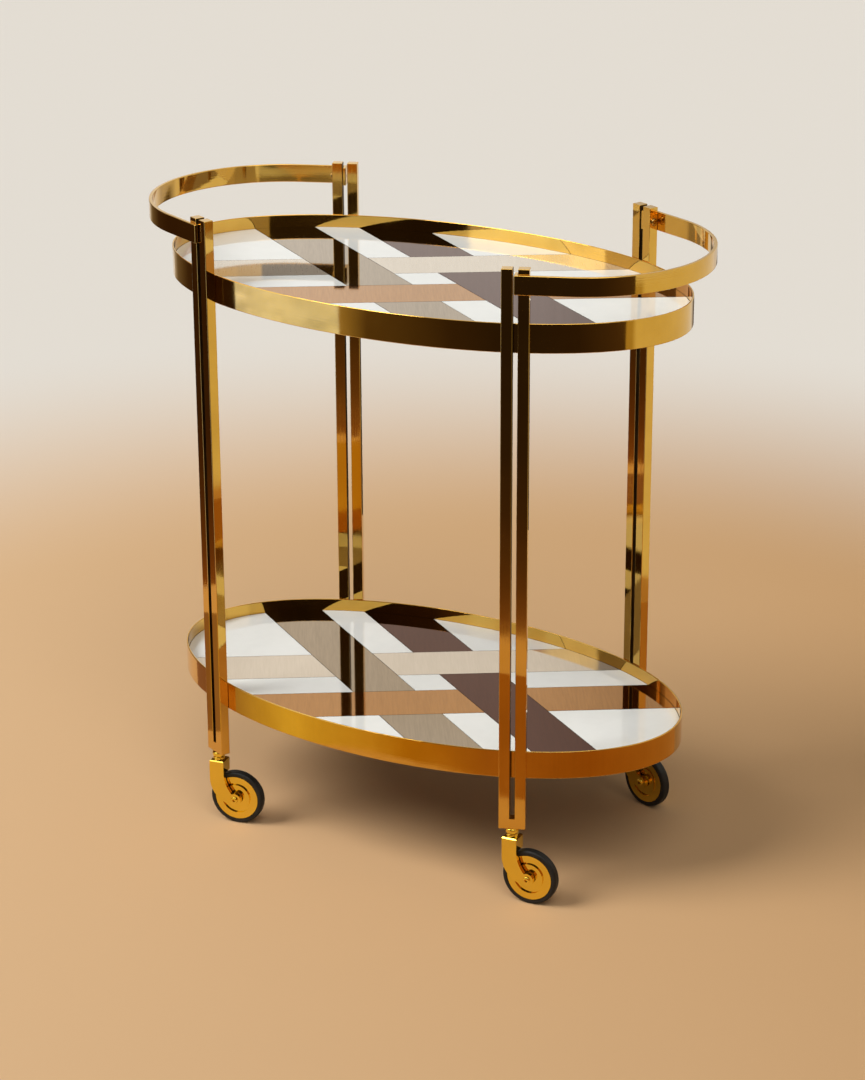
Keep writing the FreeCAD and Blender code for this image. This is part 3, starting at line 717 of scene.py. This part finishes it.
# The low card is a painted reflection of the floor close round the cart, darker and redder than the floor
# itself.
card(
    "low_card",
    [
        (-175, (0.26, 0.12, 0.06)),
        (-160, (0.26, 0.12, 0.06)),
        (-131, (0.79, 0.62, 0.15)),
        (-91, (0.50, 0.25, 0.02)),
        (-64, (0.37, 0.15, 0.03)),
        (-27, (0.33, 0.12, 0.016)),
        (33, (0.42, 0.21, 0.07)),
    ],
    [(0, EVEN), (0.2, EVEN)],
    radius=0.6,
)
card(
    "back_card",
    [
        (70, (0.80, 0.77, 0.72)),
        (90, (0.66, 0.63, 0.58)),
        (102, (0.60, 0.57, 0.52)),
        (108, (0.76, 0.73, 0.68)),
        (114, (0.87, 0.84, 0.79)),
        (122, (0.86, 0.83, 0.78)),
        (132, (0.94, 0.91, 0.86)),
        (140, (0.84, 0.81, 0.76)),
        (158, (0.80, 0.77, 0.72)),
    ],
    [(0.55, (0.88, 0.83, 0.77)), (0.8, (0.88, 0.83, 0.77)), (1.05, EVEN), (1.8, EVEN)],
)
card(
    "low_back_card",
    [
        (70, (0.76, 0.72, 0.65)),
        (84, (0.12, 0.085, 0.05)),
        (104, (0.04, 0.026, 0.015)),
        (120, (0.10, 0.07, 0.04)),
        (128, (0.80, 0.77, 0.72)),
        (150, (0.80, 0.77, 0.72)),
    ],
    [(0, EVEN), (0.55, EVEN)],
)


# Lamps and surround: a large soft lamp high on the left, a weaker one on the right and even light all round.
# The surround shows its pale tone to the camera and in polished surfaces, and lights the rest only weakly.

WARM_WHITE = (1, 0.97, 0.92)
ROOM_WHITE = (1, 0.985, 0.96)
ROOM_LIGHT = 0.19

for name, energy, spread_angle, shines in (
    ("key", 2.35, 32, (0.70, 0.65, -1.0)),
    ("fill", 1.0, 40, (-0.50, 0.62, -1.0)),
):
    light = bpy.data.lights.new(name, "SUN")
    light.energy = energy
    light.angle = math.radians(spread_angle)
    light.color = WARM_WHITE
    lamp = bpy.data.objects.new(name, light)
    lamp.rotation_euler = Vector(shines).to_track_quat("-Z", "Y").to_euler()
    bpy.context.scene.collection.objects.link(lamp)

world = bpy.data.worlds.new("surround")
world.use_nodes = True
bpy.context.scene.world = world
tree = world.node_tree
shown = tree.nodes["Background"]
shown.inputs["Color"].default_value = (*PALE, 1)
shown.inputs["Strength"].default_value = 1.0
lit = tree.nodes.new("ShaderNodeBackground")
lit.inputs["Color"].default_value = (*ROOM_WHITE, 1)
lit.inputs["Strength"].default_value = ROOM_LIGHT
path = tree.nodes.new("ShaderNodeLightPath")
seen = tree.nodes.new("ShaderNodeMath")
seen.operation = "MAXIMUM"
link(tree, path, "Is Camera Ray", seen, 0)
link(tree, path, "Is Glossy Ray", seen, 1)
seen_through = tree.nodes.new("ShaderNodeMath")
seen_through.operation = "MAXIMUM"
link(tree, seen, "Value", seen_through, 0)
link(tree, path, "Is Transmission Ray", seen_through, 1)
choose = tree.nodes.new("ShaderNodeMixShader")
link(tree, seen_through, "Value", choose, 0)
link(tree, lit, "Background", choose, 1)
link(tree, shown, "Background", choose, 2)
link(tree, choose, "Shader", tree.nodes["World Output"], "Surface")


# Camera: stands in front of the cart, to the right and above it, and looks down on both trays.
# Its place, turn and lens give the view that the cart is pictured from.

CAMERA_PLACE = (2.0109, -3.3464, 1.9325)
YAW = 0.53896
PITCH = 0.36873
ROLL = -0.00425
LENS = 98.17
SENSOR_HEIGHT = 36

right = Vector((math.cos(YAW), math.sin(YAW), 0))
back = Vector((math.sin(YAW)*math.cos(PITCH), -math.cos(YAW)*math.cos(PITCH), math.sin(PITCH)))
up = back.cross(right)
lens = bpy.data.cameras.new("camera")
lens.sensor_fit = "VERTICAL"
lens.sensor_height = SENSOR_HEIGHT
lens.lens = LENS
camera = bpy.data.objects.new("camera", lens)
stand = Matrix.Identity(4)
stand.col[0] = (*(math.cos(ROLL)*right + math.sin(ROLL)*up), 0)
stand.col[1] = (*(math.cos(ROLL)*up - math.sin(ROLL)*right), 0)
stand.col[2] = (*back, 0)
stand.col[3] = (*CAMERA_PLACE, 1)
camera.matrix_world = stand
bpy.context.scene.collection.objects.link(camera)
bpy.context.scene.camera = camera
bpy.context.scene.view_settings.view_transform = "Standard"
